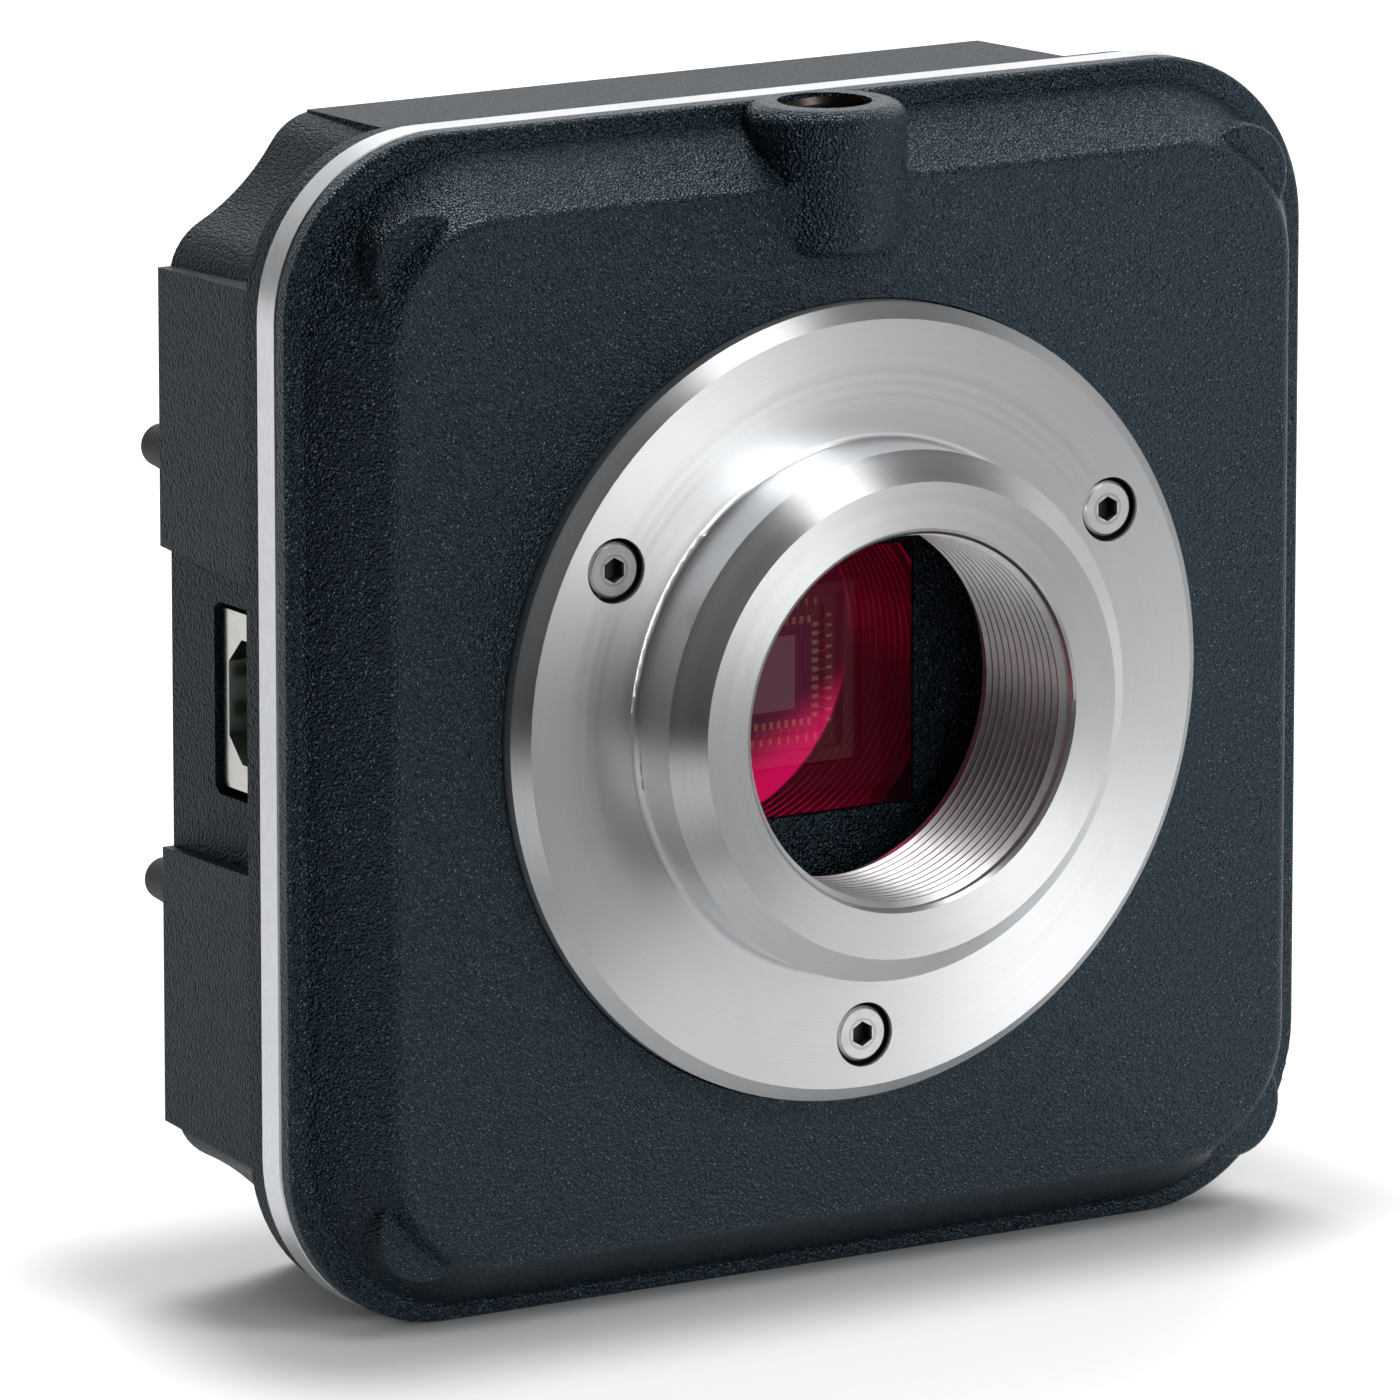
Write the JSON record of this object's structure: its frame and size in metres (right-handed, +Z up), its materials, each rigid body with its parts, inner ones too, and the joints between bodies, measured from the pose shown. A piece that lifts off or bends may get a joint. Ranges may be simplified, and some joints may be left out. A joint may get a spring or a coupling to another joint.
{
  "type": "microscope camera",
  "caption": "Square black digital microscope camera with an aluminium threaded lens mount, a bright trim band, a tripod boss on top and a data port in the left side.",
  "frame": {"origin": "centre of the bounding box in X and Y, at the bottom edge on which it stands", "axes": "+X to the right and +Z up for someone facing the lens side, +Y from the lens mount to the rear feet"},
  "size_m": [0.08, 0.0366, 0.08],
  "materials": {
    "black_paint": "fine textured powder coat",
    "turned_aluminium": "turned satin",
    "bright_aluminium": "bright cut",
    "seal_rubber": "matt",
    "screw_steel": "turned",
    "dark_steel": "black oxide",
    "filter_glass": "polished red",
    "clear_glass": "polished",
    "silicon": "polished",
    "package_ceramic": "matt",
    "foam": "foam",
    "board_green": "satin",
    "black_plastic": "matt moulded",
    "ferrite": "matt",
    "pad_silicone": "soft",
    "port_metal": "bright plated",
    "port_plastic": "moulded",
    "contact_metal": "plated",
    "foot_rubber": "matt"
  },
  "bodies": {
    "root": {"front_shell": "black_paint", "mount_flange": "turned_aluminium", "mount_seal": "seal_rubber", "flange_screws": "screw_steel", "ir_filter": "filter_glass", "sensor_seal": "foam", "sensor_cover": "clear_glass", "sensor_die": "silicon", "sensor_package": "package_ceramic", "sensor_board": "board_green", "sensor_board_screws": "screw_steel", "board_connector": "black_plastic", "main_board": "board_green", "main_board_screws": "screw_steel", "image_processor": "black_plastic", "frame_memory": "black_plastic", "port_controller": "black_plastic", "power_inductors": "ferrite", "heat_pad": "pad_silicone", "front_seal": "seal_rubber", "trim_band": "bright_aluminium", "rear_seal": "seal_rubber", "rear_shell": "black_paint", "case_screws": "dark_steel", "port_shell": "port_metal", "port_insulator": "port_plastic", "port_contacts": "contact_metal", "rear_feet": "foot_rubber"}
  },
  "joints": []
}
